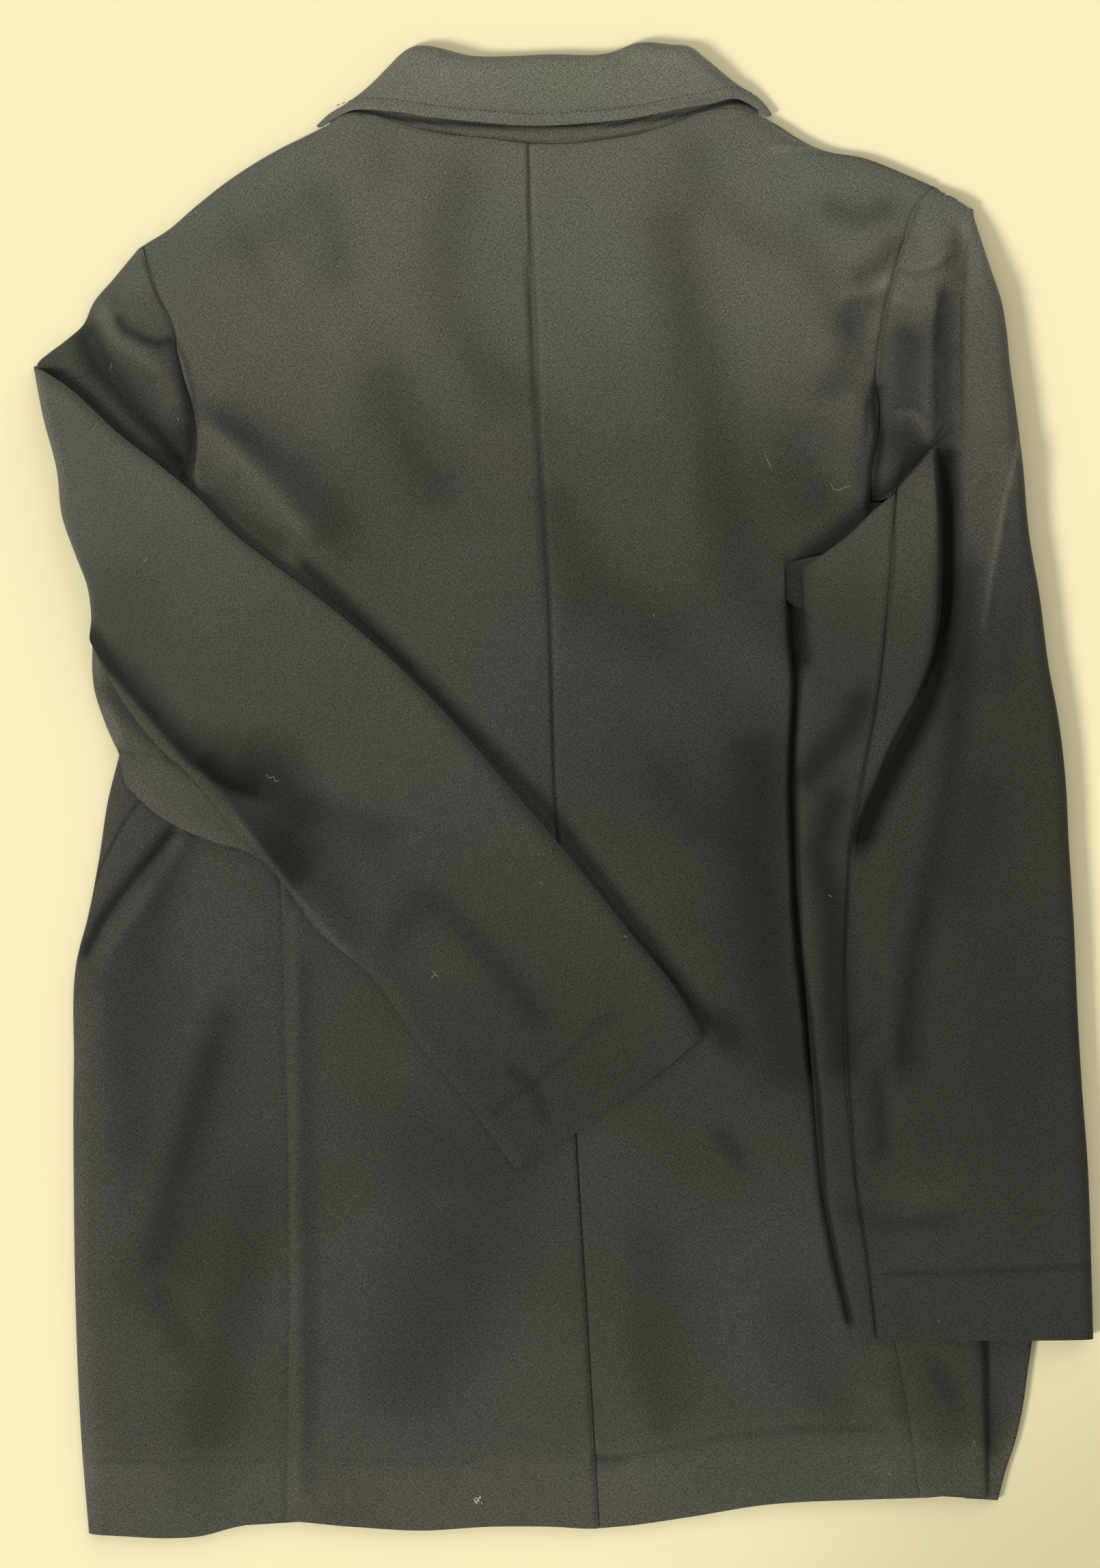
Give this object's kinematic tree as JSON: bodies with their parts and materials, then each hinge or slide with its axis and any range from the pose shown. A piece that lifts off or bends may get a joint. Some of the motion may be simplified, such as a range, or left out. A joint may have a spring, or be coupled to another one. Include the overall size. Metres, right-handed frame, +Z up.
{
  "type": "single-breasted blazer laid flat",
  "caption": "Grey-brown woven blazer laid flat on its front with the back up, its left sleeve folded across the back and its right sleeve straight down the side.",
  "frame": {"origin": "centre of the bounding box's base, on the surface that the blazer lies on", "axes": "+Y from the hem to the collar, +X to the right as seen from above with the back up, +Z up from the surface"},
  "size_m": [0.5459, 0.7723, 0.0187],
  "materials": {
    "cloth": "matte woven"
  },
  "bodies": {
    "root": {"back_left": "cloth", "back_right": "cloth", "vent_underlap": "cloth", "side_left": "cloth", "side_right": "cloth", "front_left": "cloth", "front_right": "cloth", "lapel_left": "cloth", "lapel_right": "cloth", "collar_stand": "cloth", "collar_fall": "cloth", "under_sleeve_right": "cloth", "sleeve_head_right": "cloth", "upper_sleeve_right": "cloth", "under_sleeve_left": "cloth", "upper_sleeve_left": "cloth", "sleeve_head_left": "cloth"}
  },
  "joints": []
}
